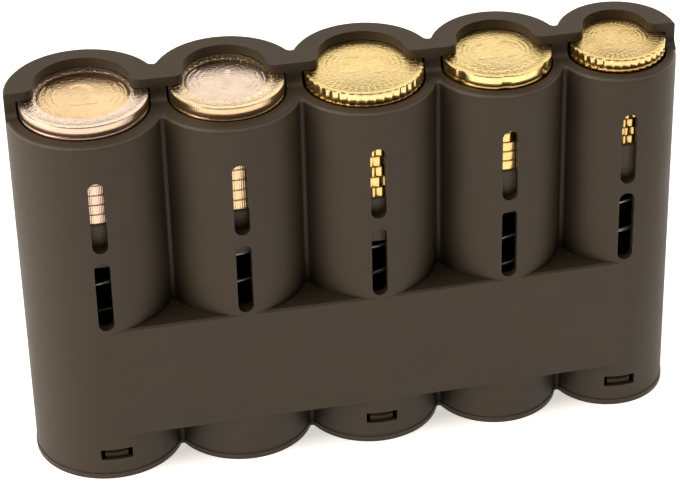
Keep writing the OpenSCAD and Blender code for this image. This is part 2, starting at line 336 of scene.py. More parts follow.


# Moulded plastic: shares of its colour in the slow clouds, and its paler colour for rubbed edges
# and for the painted highlight on the front rim's rounded edge
CLOUD_DARK = 0.86
CLOUD_PALE = 1.16
PALE_WEAR_AND_HIGHLIGHT_SHARE = 1.7
PALE_WEAR_AND_HIGHLIGHT_LIFT = 0.03
# Distance at which one face of a moulding starts to darken another with painted shade
PAINTED_SHADE_REACH = 0.012
# Share of the colour that the painted shade leaves deep in a hollow
PAINTED_SHADE_TONE = 0.5
# Most that the grain's specks turn to the pale colour
SPECKS = 0.35
PLASTIC_SPECULAR = 0.35
# Spread of the roughness over the clouds, and its change where the plastic is rubbed or carries
# the painted rim highlight
PATCH_ROUGH = 0.1
WEAR_AND_HIGHLIGHT_ROUGH = -0.12
PIT_DEPTH = 0.00006
PIT_STRENGTH = 0.55


def moulded_plastic(name, colour, groups, grain_mm, rough, wear, rim_highlight_height=None):
    """Matt moulded plastic with pits, slow clouds, painted shade in its hollows, paler rubbed
    edges and, where a rim height is given, a painted highlight along the front rim's rounded
    edge.
    """
    material, net, shader, place = new_material(name)
    grain = place_group(net, groups["grain"], Vector=place, Scale=1.0 / (grain_mm * MM))
    rubbed = place_group(net, groups["edges"], Vector=place)
    pale = toned(colour, CLOUD_PALE)
    worn_and_lit = toned(colour, PALE_WEAR_AND_HIGHLIGHT_SHARE, lift=PALE_WEAR_AND_HIGHLIGHT_LIFT)
    shader.inputs["Specular IOR Level"].default_value = PLASTIC_SPECULAR
    body = net.mix_colour(grain["Cloud"], toned(colour, CLOUD_DARK), pale)
    specks = net.remap(grain["Height"], 0.45, 1.0, 0.0, SPECKS)
    body = net.mix_colour(specks, body, pale)
    # Painted shade: the colour is darkened where the moulding's own faces shelter each other, as
    # in the valleys between the tubes and in the slots
    occlusion = net.add("ShaderNodeAmbientOcclusion", {"samples": 8, "only_local": True}, {
        "Distance": PAINTED_SHADE_REACH})
    painted_shade = net.remap(occlusion.outputs["AO"], 0.3, 0.88, PAINTED_SHADE_TONE, 1.0)
    body = net.mix_colour(1.0, body, painted_shade, "MULTIPLY")
    share = net.times(rubbed["Mask"], wear)
    # Painted highlight: a paler band along the front rim's rounded edge, where light would catch
    # it
    if rim_highlight_height:
        rim = place_group(net, groups["rim"], Vector=place, Height=rim_highlight_height)
        share = net.math("MAXIMUM", share, rim["Mask"])
    net.feed(shader.inputs["Base Color"], net.mix_colour(share, body, worn_and_lit))
    patch = net.times(grain["Cloud"], PATCH_ROUGH, plus=rough - PATCH_ROUGH / 2)
    net.feed(shader.inputs["Roughness"], net.times(share, WEAR_AND_HIGHLIGHT_ROUGH, plus=patch))
    bump(net, shader, grain["Height"], PIT_DEPTH, PIT_STRENGTH)
    return material


# Coin metal: tones of the dulled clouds, of the milled edge and of the rubbed edges
DULL_TONE = (0.72, 0.6, 0.48)
MILLED_TONE = (0.8, 0.68, 0.62)
SHINE_TONE = 1.05
# Most that the clouds dull the metal
CLOUD_DULL = 0.3
# Roughness of a coin's edge, and its changes on the faces, in clouds and where rubbed
EDGE_ROUGH = 0.19
FACE_CHANGE = -0.05
CLOUD_CHANGE = 0.08
SHINE_CHANGE = -0.08
RUBBED_WIDTH = 0.0002
# Noise scales of the clouds, of the rubbed edges, of the worn relief and of its fine grain
CLOUD_SCALE = 260.0
RUBBED_SCALE = 1400.0
RELIEF_SCALE = 1700.0
FINE_SCALE = 5200.0
# Heights of hairlines, fine grain, worn relief and milled lines, in parts of COIN_DEPTH
HAIR_HEIGHT = -0.35
FINE_HEIGHT = 0.35
RELIEF_HEIGHT = 6.0
REED_HEIGHT = 0.5
COIN_DEPTH = 0.00004
COIN_STRENGTH = 0.45


def struck_metal(name, colour, groups, centre, reeds, tarnish):
    """Coin metal dulled in clouds, with a worn relief, hairlines and any milled edge."""
    material, net, shader, place = new_material(name, metallic=1.0)
    hair = place_group(net, groups["hair"], Vector=place)
    rubbed = place_group(net, groups["edges"], Vector=place, Width=RUBBED_WIDTH,
                         Scale=RUBBED_SCALE)
    cloud = net.remap(net.noise(place, CLOUD_SCALE, detail=5.0, roughness=0.6), 0.42, 0.72)
    upright = net.math("ABSOLUTE", net.normal_z())
    face = net.remap(upright, 0.8, 0.97)

    body = net.mix_colour(net.times(cloud, CLOUD_DULL, plus=tarnish), colour,
                          toned(colour, *DULL_TONE))
    fine = net.noise(place, FINE_SCALE, roughness=0.6)
    relief = net.times(net.noise(place, RELIEF_SCALE, roughness=0.6), face)
    height = net.times(hair["Height"], HAIR_HEIGHT)
    height = net.times(fine, FINE_HEIGHT, plus=height)
    height = net.times(relief, RELIEF_HEIGHT, plus=height)
    if reeds:
        side = net.remap(upright, 0.5, 0.1)
        body = net.mix_colour(side, body, toned(colour, *MILLED_TONE))
        moved = net.add("ShaderNodeMapping", None, {
            "Vector": place, "Location": (-centre, 0.0, 0.0)}).outputs[0]
        part = net.add("ShaderNodeSeparateXYZ", None, {0: moved})
        angle = net.math("ARCTAN2", part.outputs[1], part.outputs[0])
        wave = net.math("SINE", net.times(angle, float(reeds)))
        height = net.times(net.times(wave, side), REED_HEIGHT, plus=height)

    net.feed(shader.inputs["Base Color"],
             net.mix_colour(rubbed["Mask"], body, toned(colour, SHINE_TONE)))
    satin = net.times(face, FACE_CHANGE, plus=EDGE_ROUGH)
    rough = net.times(cloud, CLOUD_CHANGE, plus=satin)
    net.feed(shader.inputs["Roughness"],
             net.times(rubbed["Mask"], SHINE_CHANGE, plus=rough))
    bump(net, shader, height, COIN_DEPTH, COIN_STRENGTH)
    return material


# Spring wire: tone of the dust, roughness of the clean wire and what the dust adds
DUST_TONE = 0.55
WIRE_ROUGH = 0.32
DUST_ROUGH = 0.2
WIRE_DEPTH = 0.00002
WIRE_STRENGTH = 0.4


def drawn_wire(name, colour):
    """Bright spring wire with fine drawing lines and a little dust."""
    material, net, shader, place = new_material(name, metallic=1.0)
    dust = net.remap(net.noise(place, 420.0, detail=4.0), 0.35, 0.7)
    net.feed(shader.inputs["Base Color"],
             net.mix_colour(dust, colour, toned(colour, DUST_TONE)))
    net.feed(shader.inputs["Roughness"], net.times(dust, DUST_ROUGH, plus=WIRE_ROUGH))
    bump(net, shader, net.noise(place, 9000.0, detail=2.0), WIRE_DEPTH, WIRE_STRENGTH)
    return material


# Sizes and colours

class PlasticSettings(bpy.types.PropertyGroup):
    """Colours and grain of the moulded pieces."""
    housing_colour: bpy.props.FloatVectorProperty(
        name="Housing", description="Colour of the tubes", subtype="COLOR", size=4,
        min=0.0, max=1.0, default=(0.0432, 0.0292, 0.0151, 1.0))
    # Painted light: the cups are of the housing's plastic, painted lighter to stand in for the
    # light that falls on them through the slots
    follower_lit_colour: bpy.props.FloatVectorProperty(
        name="Followers", description="Colour of the cups under the coins", subtype="COLOR",
        size=4, min=0.0, max=1.0, default=(0.084, 0.06, 0.039, 1.0))
    grain: bpy.props.FloatProperty(
        name="Grain", description="Size of the pits in the moulded faces, in millimetres",
        min=0.1, max=2.0, default=0.38)
    rough: bpy.props.FloatProperty(
        name="Roughness", description="Roughness of the moulded faces",
        min=0.2, max=1.0, default=0.55)
    # Height of the front rims' rounded edge that carries the painted highlight
    rim_highlight_height: bpy.props.FloatProperty(
        name="Rim height", description="Height of the rubbed edge of the front rims",
        subtype="DISTANCE", unit="LENGTH", default=0.0792)


class CoinSettings(bpy.types.PropertyGroup):
    """Metals and relief of the coins."""
    ring_silver: bpy.props.FloatVectorProperty(
        name="Silver ring", description="Colour of a white metal ring", subtype="COLOR", size=4,
        min=0.0, max=1.0, default=(0.96, 0.80, 0.67, 1.0))
    core_silver: bpy.props.FloatVectorProperty(
        name="Silver core", description="Colour of a white metal core", subtype="COLOR", size=4,
        min=0.0, max=1.0, default=(0.86, 0.71, 0.59, 1.0))
    ring_gold: bpy.props.FloatVectorProperty(
        name="Gold ring", description="Colour of a brass ring", subtype="COLOR", size=4,
        min=0.0, max=1.0, default=(0.96, 0.80, 0.52, 1.0))
    core_gold: bpy.props.FloatVectorProperty(
        name="Gold core", description="Colour of a brass core", subtype="COLOR", size=4,
        min=0.0, max=1.0, default=(0.90, 0.68, 0.40, 1.0))
    gold: bpy.props.FloatVectorProperty(
        name="Gold metal", description="Colour of the coins of one metal", subtype="COLOR",
        size=4, min=0.0, max=1.0, default=(0.95, 0.76, 0.35, 1.0))
    # Painted shade: the piles stand in the tube's shade, and this tone darkens and warms their
    # copy of the coin metal
    pile_tone: bpy.props.FloatVectorProperty(
        name="Pile tone", description="Tone of the handled coins of one metal in the piles",
        subtype="COLOR", size=4, min=0.0, max=1.0, default=(0.97, 0.84, 0.72, 1.0))
    rim: bpy.props.FloatProperty(
        name="Rim", description="Width of a coin's raised rim", subtype="DISTANCE",
        unit="LENGTH", min=0.0005, max=0.002, default=0.0011)
    field: bpy.props.FloatProperty(
        name="Field", description="Depth of a coin's face below its rim", subtype="DISTANCE",
        unit="LENGTH", min=0.00005, max=0.0003, default=0.0001)
    slope: bpy.props.FloatProperty(
        name="Slope", description="Width of the slope from a coin's rim down to its face",
        subtype="DISTANCE", unit="LENGTH", min=0.0001, max=0.0006, default=0.0003)
    core_share: bpy.props.FloatProperty(
        name="Core", description="Share of the diameter that a two-metal coin's core takes",
        min=0.5, max=0.85, default=0.72)
    scallop: bpy.props.FloatProperty(
        name="Scallops", description="Depth of the scallops on a coin's edge",
        subtype="DISTANCE", unit="LENGTH", min=0.0001, max=0.0005, default=0.00028)
    notch: bpy.props.FloatProperty(
        name="Notches", description="Depth of the few round notches on a coin's edge",
        subtype="DISTANCE", unit="LENGTH", min=0.0001, max=0.0006, default=0.00035)


class SpringSettings(bpy.types.PropertyGroup):
    """Size and winding of the springs."""
    wire: bpy.props.FloatProperty(
        name="Wire", description="Diameter of the wire", subtype="DISTANCE", unit="LENGTH",
        min=0.0005, max=0.0015, default=0.0009)
    radius: bpy.props.FloatProperty(
        name="Radius", description="Radius of the wire's line", subtype="DISTANCE",
        unit="LENGTH", min=0.004, max=0.009, default=0.007875)
    closed: bpy.props.FloatProperty(
        name="Closed turns", description="Closed turns at each end", min=0.5, max=3.0,
        default=1.25)
    open: bpy.props.FloatProperty(
        name="Open turns", description="Turns between the closed ends", min=4.0, max=12.0,
        default=8.0)
    gap: bpy.props.FloatProperty(
        name="Closed gap", description="Gap between closed turns", subtype="DISTANCE",
        unit="LENGTH", min=0.0003, max=0.001, default=0.0005)
    steel: bpy.props.FloatVectorProperty(
        name="Steel", description="Colour of the wire", subtype="COLOR", size=4,
        min=0.0, max=1.0, default=(0.56, 0.55, 0.53, 1.0))


class StageSettings(bpy.types.PropertyGroup):
    """The camera's place and the strength of the light."""
    azimuth: bpy.props.FloatProperty(
        name="Azimuth", description="Turn of the camera round the holder, in degrees",
        default=-9.723)
    elevation: bpy.props.FloatProperty(
        name="Elevation", description="Height angle of the camera, in degrees",
        default=32.609)
    roll: bpy.props.FloatProperty(
        name="Roll", description="Tilt of the camera about its view, in degrees",
        default=-1.444)
    distance: bpy.props.FloatProperty(
        name="Distance", description="Distance of the camera from its target",
        subtype="DISTANCE", unit="LENGTH", default=0.5584)
    lens: bpy.props.FloatProperty(
        name="Lens", description="Focal length for a 36 mm sensor, in millimetres",
        default=142.85)
    light: bpy.props.FloatProperty(
        name="Light", description="Strength of all the lights together", min=0.1, max=4.0,
        default=1.0)


# Mouldings

class HOLDER_OT_mould(bpy.types.Operator):
    """Gives the housing, the base plate and the followers their moulded finish"""
    bl_idname = "holder.mould"
    bl_label = "Finish the mouldings"

    def execute(self, context):
        choice = context.scene.holder_plastic
        groups = shared_groups()
        finishes = {
            "housing": moulded_plastic(
                "Housing plastic", choice.housing_colour, groups, choice.grain,
                choice.rough, wear=0.5, rim_highlight_height=choice.rim_highlight_height),
            "base_plate": moulded_plastic(
                "Base plastic", choice.housing_colour, groups, choice.grain,
                choice.rough - 0.04, wear=0.4),
        }
        # Painted light: the followers' plastic is lighter than the housing's, standing in for
        # light through the slots
        cup = moulded_plastic(
            "Follower plastic", choice.follower_lit_colour, groups, choice.grain,
            choice.rough - 0.1, wear=0.3)
        for tube in TUBES:
            finishes[f"follower_{tube}"] = cup
        for node, material in finishes.items():
            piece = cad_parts[node]
            piece.data.materials.clear()
            piece.data.materials.append(material)
        return {"FINISHED"}


# Springs

WIRE_SIDES = 10
TURN_STEPS = 32
# Distance under which two points of a spring become one
WELD = 0.00001


def wind(radius, wire, turns, rise, start_angle, foot):
    """One stretch of a spring with an even rise, as an open tube."""
    start_clean()
    bpy.ops.mesh.primitive_circle_add(
        vertices=WIRE_SIDES, radius=wire / 2, location=(radius, 0.0, 0.0),
        rotation=(math.pi / 2, 0.0, 0.0))
    stretch = bpy.context.object
    settle(stretch)
    screw = stretch.modifiers.new("Winding", "SCREW")
    screw.axis = "Z"
    screw.angle = math.tau * turns
    screw.screw_offset = rise
    screw.steps = screw.render_steps = round(TURN_STEPS * turns)
    bpy.ops.object.modifier_apply(modifier=screw.name)
    stretch.data.transform(
        Matrix.Translation((0.0, 0.0, foot)) @ Matrix.Rotation(start_angle, 4, "Z"))
    return stretch


class HOLDER_OT_wind_springs(bpy.types.Operator):
    """Winds one round-wire spring in each tube, with closed ends"""
    bl_idname = "holder.wind_springs"
    bl_label = "Wind the springs"

    # Heights at which the wire crosses the front of each tube, in millimetres
    front_heights = (43.5, 40.2, 44.6, 43.1, 41.4)

    def execute(self, context):
        size = context.scene.holder_spring
        steel = drawn_wire("Spring wire", size.steel)
        for tube, front in zip(TUBES, self.front_heights):
            low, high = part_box(f"spring_{tube}")
            spring = self.wind_coil(tube, front * MM, low, high, size)
            self.fit_spring(tube, spring, low, high, steel)
        return {"FINISHED"}

    def wind_coil(self, tube, front, low, high, size):
        """A whole spring on its tube's axis, whose wire is in front at a given height."""
        foot, head = low[2] + size.wire / 2, high[2] - size.wire / 2
        ends = size.closed * (size.wire + size.gap)
        open_rise = (head - foot - 2 * ends) / size.open
        turned = -math.pi / 2 - math.tau * (size.closed + (front - foot - ends) / open_rise)
        height = foot
        coil = []
        for turns, rise in ((size.closed, ends), (size.open, open_rise * size.open),
                            (size.closed, ends)):
            coil.append(wind(size.radius, size.wire, turns, rise, turned, height))
            turned += math.tau * turns
            height += rise
        spring = joined(coil, f"coil_{tube}")
        edit(spring, "VERT")
        bpy.ops.mesh.select_all(action="SELECT")
        bpy.ops.mesh.remove_doubles(threshold=WELD)
        bpy.ops.mesh.fill_holes(sides=WIRE_SIDES + 2)
        bpy.ops.mesh.normals_make_consistent(inside=False)
        leave_edit()
        spring.data.transform(Matrix.Translation((tube_axis(tube), 0.0, 0.0)))
        return spring

    def fit_spring(self, tube, spring, low, high, steel):
        """Gives a spring its shading, its wire and the holder's body, and hides the node that it
        stands in for.
        """
        finish(spring, steel, "holder", smooth_deg=60)
        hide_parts(f"spring_{tube}")
        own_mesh(spring)


# Coins

# Kinds of coin: outline, milled lines, numeral, motif, height of the relief as a share of
# the field's depth, and share of dulled metal
COIN_KINDS = {
    1: {"scallops": 0, "notches": 0, "reeds": 250, "numeral": "2", "motif": "leaves",
        "relief": 0.5, "tarnish": 0.0},
    2: {"scallops": 0, "notches": 0, "reeds": 180, "numeral": "1", "motif": "beads",
        "relief": 0.5, "tarnish": 0.0},
    3: {"scallops": 44, "notches": 0, "reeds": 0, "numeral": "50", "motif": "rays",
        "relief": 0.35, "tarnish": 0.05},
    4: {"scallops": 0, "notches": 7, "reeds": 0, "numeral": "20", "motif": "leaves",
        "relief": 0.45, "tarnish": 0.1},
    5: {"scallops": 38, "notches": 0, "reeds": 0, "numeral": "10", "motif": "rays",
        "relief": 0.35, "tarnish": 0.35},
}
COINS_IN_PILE = 9
# Most that a coin's marks are turned either way, in radians, and the seed of the turns
MOST_TURN = 0.3
SEED = 11
# Gap that keeps two coins of a pile apart
FACE_GAP = 0.00005
# Gap between a core and its ring
CORE_GAP = 0.00002

# Sides of a round coin, and of one repeat of a scalloped or notched edge
FACETS = 144
SCALLOP_FACETS = 4
NOTCH_FACETS = 36
NOTCH_RADIUS = 0.0026
NOTCH_TURN = math.radians(-92.0)
# Depth of a scallop beside its middle, as a share of its full depth
SCALLOP_FLANK = 0.6
# Roundings of a rim's edge, as a share of the rim's width, and of a core's edge
RIM_ROUND = 0.22
CORE_ROUND = 0.00006
# Width of the band inside a coin's radius that still counts as its outer edge, cuts included
EDGE_BAND = 0.0006
# Least number of corners of a coin's flat ends
END_CORNERS = 40

# Half length of a lens, one unit long, that keeps its width, and the scale of its tips
LENS_WAIST = 0.3
LENS_TIPS = (1.0, 0.6, 0.8)
# Scale of a ridge's top
RIDGE_TOP = (0.94, 0.35, 1.0)
# Marks of the relief: length and width
BEAD = (0.00034, 0.00034)
PEARL = (0.0007, 0.0007)
LEAF = (0.0019, 0.00075)
SPRIG = (0.0011, 0.00042)
TICK = (0.0012, 0.0002)
RAY = (0.0022, 0.00035)
# Beads in the outer ring for each millimetre of a coin's radius
BEADS_PER_MM = 5
# Places of the bead ring and of the motif's outer end, in from the coin's edge
BEAD_INSET = 0.0015
MOTIF_INSET = 0.0018
# Where the motif starts on a coin of one metal, and what its numeral and sprigs fill
MOTIF_START = 0.72
CENTRE_SHARE = 0.66
LEAVES = 30
LEAF_LEAN = 1.15
# The second row of leaves lies further in, and is turned on by this much
LEAF_STEP = 0.0002
LEAF_TURN = 0.1
PEARLS = 36
RAYS = 48
# Size of the numeral, as a share of the radius that it fills, and of its height in bevel
NUMERAL_SHARE = 1.3
NUMERAL_BEVEL = 0.6
# Sprigs at both sides of the numeral: the outer row's radius, as a share, and the step in
SPRIG_ROWS = 3
SPRIG_SHARE = 0.92
SPRIG_STEP = 0.13
SPRIGS_IN_ROW = 14
SPRIG_LEAN = 1.1
SPRIG_SWEEP = 1.1


def disc(name, radius, thick, sides):
    """A flat round blank round the origin, open in edit mode."""
    start_clean()
    bpy.ops.mesh.primitive_cylinder_add(
        vertices=sides, radius=radius, depth=thick, end_fill_type="NGON")
    blank = bpy.context.object
    blank.name = name
    edit(blank)
    return blank


def shape_edge(blank, radius, sides, cuts):
    """Draws the outer edge inwards: cuts gives the depth at each step of one repeat."""
    bpy.ops.mesh.select_mode(type="VERT")
    pitch = math.tau / sides
    for step, depth in enumerate(cuts):
        if depth <= 0:
            continue
        scale = 1 - depth / radius
        pick(blank, "verts", lambda v: v.co.xy.length > radius - 1e-5 and round(
            math.atan2(v.co.y, v.co.x) / pitch + sides / 4) % len(cuts) == step)
        bpy.ops.transform.resize(value=(scale, scale, 1.0), center_override=(0, 0, 0))
    bpy.ops.mesh.select_mode(type="FACE")


def notch_cuts(radius, depth, notches):
    """Depth of a round notch at each step of its repeat, deepest at the first step."""
    centre = radius - depth + NOTCH_RADIUS
    cuts = []
    for step in range(NOTCH_FACETS):
        turn = math.tau / notches * min(step, NOTCH_FACETS - step) / NOTCH_FACETS
        inside = NOTCH_RADIUS ** 2 - (centre * math.sin(turn)) ** 2
        near = centre * math.cos(turn) - math.sqrt(inside) if inside > 0 else radius
        cuts.append(max(0.0, radius - near))
    return cuts


def is_end(face):
    return abs(face.normal.z) > 0.99 and len(face.verts) > END_CORNERS


def soften_rim(blank, radius, thick, offset):
    """Rounds the outer edges of both ends of a blank."""
    bpy.ops.mesh.select_mode(type="EDGE")
    pick(blank, "edges", lambda e: all(
        abs(abs(v.co.z) - thick / 2) < 1e-6 and v.co.xy.length > radius - EDGE_BAND
        for v in e.verts))
    bpy.ops.mesh.bevel(offset=offset, segments=2, affect="EDGES")


def coin_blank(name, radius, thick, kind, size, hole):
    """A coin with a raised rim on both faces, and a hole for its core if it has one."""
    sides = (SCALLOP_FACETS * kind["scallops"] or NOTCH_FACETS * kind["notches"] or FACETS)
    blank = disc(name, radius, thick, sides)
    pick(blank, "faces", is_end)
    bpy.ops.mesh.inset(thickness=size.rim)
    bpy.ops.mesh.inset(thickness=size.slope, depth=-size.field)
    if hole:
        pick(blank, "faces", is_end)
        bpy.ops.mesh.inset(thickness=radius - size.rim - size.slope - hole)
        pick(blank, "faces", is_end)
        bpy.ops.mesh.bridge_edge_loops()
    if kind["scallops"]:
        flank = SCALLOP_FLANK * size.scallop
        shape_edge(blank, radius, sides, (0.0, flank, size.scallop, flank))
    if kind["notches"]:
        shape_edge(blank, radius, sides, notch_cuts(radius, size.notch, kind["notches"]))
    soften_rim(blank, radius, thick, size.rim * RIM_ROUND)
    leave_edit()
    if kind["notches"]:
        blank.data.transform(Matrix.Rotation(NOTCH_TURN + math.pi / 2, 4, "Z"))
    return blank


def coin_core(name, radius, thick):
    """The inner disc of a two-metal coin, softened where it meets its ring."""
    core = disc(name, radius, thick, FACETS)
    soften_rim(core, radius, thick, CORE_ROUND)
    leave_edit()
    return core


def numeral(text, size, height):
    """A raised number that stands on the plane z = 0."""
    start_clean()
    bpy.ops.object.text_add()
    words = bpy.context.object
    words.data.body = text
    words.data.size = size
    words.data.align_x = "CENTER"
    words.data.align_y = "CENTER"
    words.data.extrude = height * (1 - NUMERAL_BEVEL)
    words.data.bevel_depth = height * NUMERAL_BEVEL
    words.data.bevel_resolution = 1
    words.data.resolution_u = 6
    bpy.ops.object.convert(target="MESH")
    number = bpy.context.object
    settle(number)
    return number


def lens(length, width, height):
    """A low pointed dome, as a leaf or a bead of the relief."""
    start_clean()
    bpy.ops.mesh.primitive_uv_sphere_add(segments=8, ring_count=5, radius=0.5)
    dome = bpy.context.object
    edit(dome, "VERT")
    pick(dome, "verts", lambda v: abs(v.co.x) > LENS_WAIST)
    bpy.ops.transform.resize(value=LENS_TIPS, center_override=(0, 0, 0))
    leave_edit()
    dome.scale = (length, width, 2 * height)
    settle(dome)
    return dome


def ridge(length, width, height):
    """A low bar with a narrowed top, as a ray of the relief."""
    start_clean()
    bpy.ops.mesh.primitive_cube_add(size=1.0)
    bar = bpy.context.object
    edit(bar)
    pick(bar, "faces", lambda f: f.normal.z > 0.9)
    bpy.ops.transform.resize(value=RIDGE_TOP)
    leave_edit()
    bar.scale = (length, width, 2 * height)
    settle(bar)
    return bar


def ring_of(model, count, radius, lean=0.0, start=0.0, sweep=math.tau):
    """Copies of a model set round a circle, each turned by the same lean."""
    ring = []
    for step in range(count):
        angle = start + sweep * step / count
        matrix = (Matrix.Rotation(angle, 4, "Z") @ Matrix.Translation((radius, 0.0, 0.0))
                  @ Matrix.Rotation(lean, 4, "Z"))
        ring.append(copy_of(model, "mark", matrix))
    discard(model)
    return ring


def face_marks(radius, kind, height, hole):
    """The raised marks for one face, round the origin, standing on the plane z = 0."""
    marks = ring_of(lens(*BEAD, height), round(radius / MM * BEADS_PER_MM),
                    radius - BEAD_INSET)
    inner = hole or radius * MOTIF_START
    middle = (inner + radius - MOTIF_INSET) / 2
    if kind["motif"] == "leaves":
        marks += ring_of(lens(*LEAF, height), LEAVES, middle, LEAF_LEAN)
        marks += ring_of(lens(*LEAF, height), LEAVES, middle - LEAF_STEP, -LEAF_LEAN,
                         LEAF_TURN)
    elif kind["motif"] == "beads":
        marks += ring_of(lens(*PEARL, height), PEARLS, middle)
        marks += ring_of(ridge(*TICK, height), PEARLS, middle, start=math.pi / PEARLS)
    else:
        marks += ring_of(ridge(*RAY, height), RAYS, middle)
    return marks


def centre_marks(radius, kind, height):
    """The numeral, with rows of sprigs at its left and right."""
    marks = [numeral(kind["numeral"], radius * NUMERAL_SHARE, height)]
    for lean, start in ((-SPRIG_LEAN, math.pi), (SPRIG_LEAN, 0.0)):
        for row in range(SPRIG_ROWS):
            marks += ring_of(lens(*SPRIG, height), SPRIGS_IN_ROW,
                             radius * (SPRIG_SHARE - SPRIG_STEP * row), lean,
                             start - SPRIG_SWEEP / 2, SPRIG_SWEEP)
    return marks


def on_both_faces(base, marks, level, turn):
    """Joins raised marks to the upper and the lower face of a coin."""
    pieces = [base]
    for mark in marks:
        pieces.append(copy_of(mark, "mark", Matrix.Translation((0, 0, level))
                              @ Matrix.Rotation(turn, 4, "Z")))
        pieces.append(copy_of(mark, "mark", Matrix.Rotation(math.pi, 4, "X")
                              @ Matrix.Translation((0, 0, level))))
        discard(mark)
    return joined(pieces, base.name)


def coin_metals(tube, kind, size, axis):
    """Materials of a tube's top coin, of its pile, and of the cores if there are any. A pile of
    one metal gets a copy of the top coin's metal toned darker and warmer, as painted shade of the
    tube around it.
    """
    groups = shared_groups()
    rims, cores = {
        1: (size.ring_silver, size.core_gold), 2: (size.ring_gold, size.core_silver),
    }.get(tube, (size.gold, None))
    outer = struck_metal(f"Coin metal {tube}", rims, groups, axis, kind["reeds"],
                         kind["tarnish"])
    shaded, inner = outer, None
    if cores:
        inner = struck_metal(f"Core metal {tube}", cores, groups, axis, 0, kind["tarnish"])
    else:
        # Painted shade: a darker, warmer copy of the metal for the pile inside the tube
        shaded = struck_metal(f"Pile metal {tube}", toned(rims, *size.pile_tone[:3]), groups,
                               axis, 0, kind["tarnish"])
    return outer, shaded, inner


def pile_of(blank, struck, thick, foot, step, turns):
    """Blanks laid on each other from a foot, with a struck coin as the last."""
    squeeze = Matrix.Diagonal((1.0, 1.0, (thick - FACE_GAP) / thick, 1.0))
    models = [blank] * (len(turns) - 1) + [struck]
    return [
        copy_of(model, "pile",
                foot @ Matrix.Translation((0, 0, thick / 2 + number * step - FACE_GAP / 2))
                @ squeeze @ Matrix.Rotation(spin, 4, "Z"))
        for number, (model, spin) in enumerate(zip(models, turns))]


class HOLDER_OT_strike_coins(bpy.types.Operator):
    """Strikes the coins of every tube: nine in the pile and the loose one on top"""
    bl_idname = "holder.strike_coins"
    bl_label = "Strike the coins"

    def execute(self, context):
        size = context.scene.holder_coin
        rng = random.Random(SEED)
        for tube in TUBES:
            self.fill_tube(tube, size, rng)
        return {"FINISHED"}

    def fill_tube(self, tube, size, rng):
        """Strikes one tube's coins. Its two-metal coins have rings and cores."""
        kind = COIN_KINDS[tube]
        axis = tube_axis(tube)
        low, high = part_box(top_node(tube))
        radius, thick = (high[0] - low[0]) / 2, high[2] - low[2]
        hole = radius * size.core_share if tube in TWO_METAL_TUBES else 0.0
        outer, shaded, inner = coin_metals(tube, kind, size, axis)
        slots = {1: ("coin_silver", "coin_gold"), 2: ("coin_gold", "coin_silver")}.get(
            tube, ("coin_yellow", None))
        height = size.field * kind["relief"]
        level = thick / 2 - size.field
        turn = rng.uniform(-MOST_TURN, MOST_TURN)

        ring = coin_blank(f"coin_{tube}", radius, thick, kind, size, hole)
        plain = copy_of(ring, "plain", Matrix.Identity(4))
        marks = face_marks(radius, kind, height, hole)
        if not hole:
            marks += centre_marks(radius * CENTRE_SHARE, kind, height)
        ring = on_both_faces(ring, marks, level, turn)
        piles = [(ring, plain, outer, shaded, f"coin_pile_{tube}", slots[0])]
        if hole:
            core = coin_core(f"core_{tube}", hole - CORE_GAP, thick - 2 * size.field)
            plain_core = copy_of(core, "plain_core", Matrix.Identity(4))
            core = on_both_faces(core, centre_marks(hole, kind, height), level, turn)
            piles.append((core, plain_core, inner, inner, f"core_pile_{tube}", slots[1]))

        pile_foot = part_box(f"coins_{tube}")[0][2]
        step = (low[2] - pile_foot) / COINS_IN_PILE
        turns = [rng.uniform(0.0, math.tau) for _ in range(COINS_IN_PILE)]
        foot = Matrix.Translation((axis, 0.0, pile_foot))
        for struck, blank, metal, pile_metal, name, slot in piles:
            pile = joined(pile_of(blank, struck, thick, foot, step, turns), name)
            finish(pile, pile_metal, f"stack_{tube}")
            if struck is ring:
                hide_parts(f"coins_{tube}")
            discard(blank)
            struck.data.transform(Matrix.Translation((axis, 0.0, (low[2] + high[2]) / 2)))
            finish(struck, metal, f"loose_coin_{tube}")
        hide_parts(top_node(tube))
        if hole:
            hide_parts(f"top_coin_core_{tube}")


# Stage

# Lamps: name, azimuth and elevation in degrees, side in metres, power in watts
LAMPS = (
    ("left_back", -118.0, 16.0, 0.5, 1.9),
    ("left_low", -75.0, 12.0, 0.5, 1.8),
    ("left_middle", -75.0, 35.0, 0.5, 1.2),
    ("left_high", -75.0, 55.0, 0.5, 2.6),
    ("top", 0.0, 75.0, 0.5, 2.6),
    ("right_low", 122.0, 12.0, 0.5, 2.3),
    ("right_high", 100.0, 48.0, 0.5, 1.3),
    ("back", 168.0, 42.0, 1.0, 3.6),
)
LAMP_DISTANCE = 0.9
LAMP_TARGET = Vector((0.0, 0.0, 0.045))
LAMP_COLOUR = (1.0, 0.92, 0.83)
WORLD_STRENGTH = 0.01
FLOOR_SIZE = 6.0
FLOOR_TONES = ((0.92, 0.93, 0.94, 1.0), (0.95, 0.96, 0.97, 1.0))
FLOOR_ROUGH = 0.85
FLOOR_LIGHT = (1.0, 0.96, 0.91, 1.0)
FLOOR_GLOW = 0.62
SENSOR_WIDTH = 36.0


def facing(azimuth, elevation):
    """Direction from the holder to a place round it, both angles in radians."""
    return Vector((math.sin(azimuth) * math.cos(elevation),
                   -math.cos(azimuth) * math.cos(elevation), math.sin(elevation)))


def softbox(name, azimuth, elevation, size, power):
    """A square light that faces the holder."""
    out = facing(math.radians(azimuth), math.radians(elevation))
    place = LAMP_TARGET + LAMP_DISTANCE * out
    start_clean()
    bpy.ops.object.light_add(type="AREA", location=place)
    lamp = bpy.context.object
    lamp.name = name
    lamp.data.shape = "SQUARE"
    lamp.data.size = size
    lamp.data.energy = power
    lamp.data.color = LAMP_COLOUR
    lamp.rotation_euler = (LAMP_TARGET - place).to_track_quat("-Z", "Y").to_euler()


